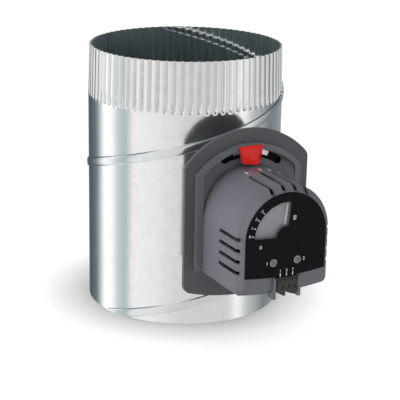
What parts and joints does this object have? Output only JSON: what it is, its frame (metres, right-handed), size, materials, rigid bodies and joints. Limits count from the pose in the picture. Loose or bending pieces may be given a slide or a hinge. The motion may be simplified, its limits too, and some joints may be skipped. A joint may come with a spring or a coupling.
{
  "type": "motorised round duct damper",
  "caption": "Round sheet-metal duct section with a swinging blade, spring opened and driven shut by a geared motor in a grey housing with a position dial and a stop lever",
  "frame": {"origin": "centre of the duct's plain end, on the duct axis", "axes": "+Z runs along the duct from its plain end to its crimped end, the actuator faces -Y and the damper shaft lies along Y, +X is to the right when facing the actuator"},
  "size_m": [0.1551, 0.2495, 0.2045],
  "materials": {
    "galvanised_sheet": "bright galvanised sheet, lightly streaked along the duct",
    "zinc_plate": "zinc plated, satin",
    "housing_plastic": "fine moulded texture, blue-grey",
    "base_plastic": "fine moulded texture, dark grey",
    "label_film": "smooth printed film, near black",
    "dial_plastic": "matt grey",
    "clear_plastic": "clear moulding",
    "lamp_plastic": "clear light pipe",
    "needle_plastic": "white",
    "gear_plastic": "natural acetal",
    "bearing_plastic": "natural nylon",
    "board_laminate": "green laminate",
    "terminal_plastic": "dark moulded plastic",
    "brass": "machined",
    "spring_steel": "blued strip",
    "fastener_steel": "zinc plated",
    "clip_steel": "black oxide",
    "seal_rubber": "closed-cell sheet",
    "motor_steel": "plated can",
    "knob_plastic": "red, slightly see-through"
  },
  "bodies": {
    "duct_and_actuator": {"duct_shell": "galvanised_sheet", "standoff_bracket": "zinc_plate", "bracket_rivets": "fastener_steel", "front_bearing": "bearing_plastic", "rear_bearing": "bearing_plastic", "base_plate": "base_plastic", "plate_screws": "fastener_steel", "cover": "housing_plastic", "cover_screws": "fastener_steel", "face_label": "label_film", "dial_plate": "dial_plastic", "window_lens": "clear_plastic", "open_lamp": "lamp_plastic", "closed_lamp": "lamp_plastic", "circuit_board": "board_laminate", "board_screws": "fastener_steel", "terminal_header": "terminal_plastic", "header_pins": "brass", "gear_frame": "zinc_plate", "gear_motor": "motor_steel", "motor_screws": "fastener_steel", "idler_axle": "fastener_steel", "return_spring": "spring_steel"},
    "blade": {"damper_shaft": "zinc_plate", "shaft_clip": "clip_steel", "blade_disc_upper": "galvanised_sheet", "blade_disc_lower": "galvanised_sheet", "blade_seal": "seal_rubber", "blade_rivets": "fastener_steel", "blade_bolts": "fastener_steel", "blade_nuts": "fastener_steel", "output_gear": "gear_plastic", "gear_clamp_screw": "clip_steel", "indicator_tube": "gear_plastic", "indicator_needle": "needle_plastic"},
    "idler": {"idler_gear": "gear_plastic"},
    "pinion": {"motor_pinion": "brass"},
    "lever": {"stop_lever": "zinc_plate", "lever_knob": "knob_plastic"},
    "plug": {"terminal_plug": "terminal_plastic", "plug_screws": "fastener_steel"}
  },
  "joints": [
    {"name": "blade_swing", "type": "hinge", "parent": "duct_and_actuator", "child": "blade", "pos_m": [0, 0, 0.0938], "axis": [0, -1, 0], "range_deg": [0, 90], "stiffness_Nm_per_rad": 0.02, "springref_deg": -28.65, "deforming": ["return_spring"]},
    {"name": "idler_spin", "type": "hinge", "parent": "duct_and_actuator", "child": "idler", "pos_m": [-0.01697, -0.104, 0.07358], "axis": [0, -1, 0], "range_deg": [-405, 0]},
    {"name": "pinion_spin", "type": "hinge", "parent": "duct_and_actuator", "child": "pinion", "pos_m": [0.00213, -0.108, 0.07157], "axis": [0, -1, 0], "range_deg": [0, 1215]},
    {"name": "lever_swing", "type": "hinge", "parent": "duct_and_actuator", "child": "lever", "pos_m": [0, -0.0992, 0.0938], "axis": [0, -1, 0], "range_deg": [-29, 17]},
    {"name": "plug_pull", "type": "slide", "parent": "duct_and_actuator", "child": "plug", "axis": [0, -1, 0], "range_m": [0, 0.012]}
  ],
  "couplings": [
    {"joint": "idler_spin", "follows": "blade_swing", "ratio": -4.5},
    {"joint": "pinion_spin", "follows": "blade_swing", "ratio": 13.5}
  ]
}
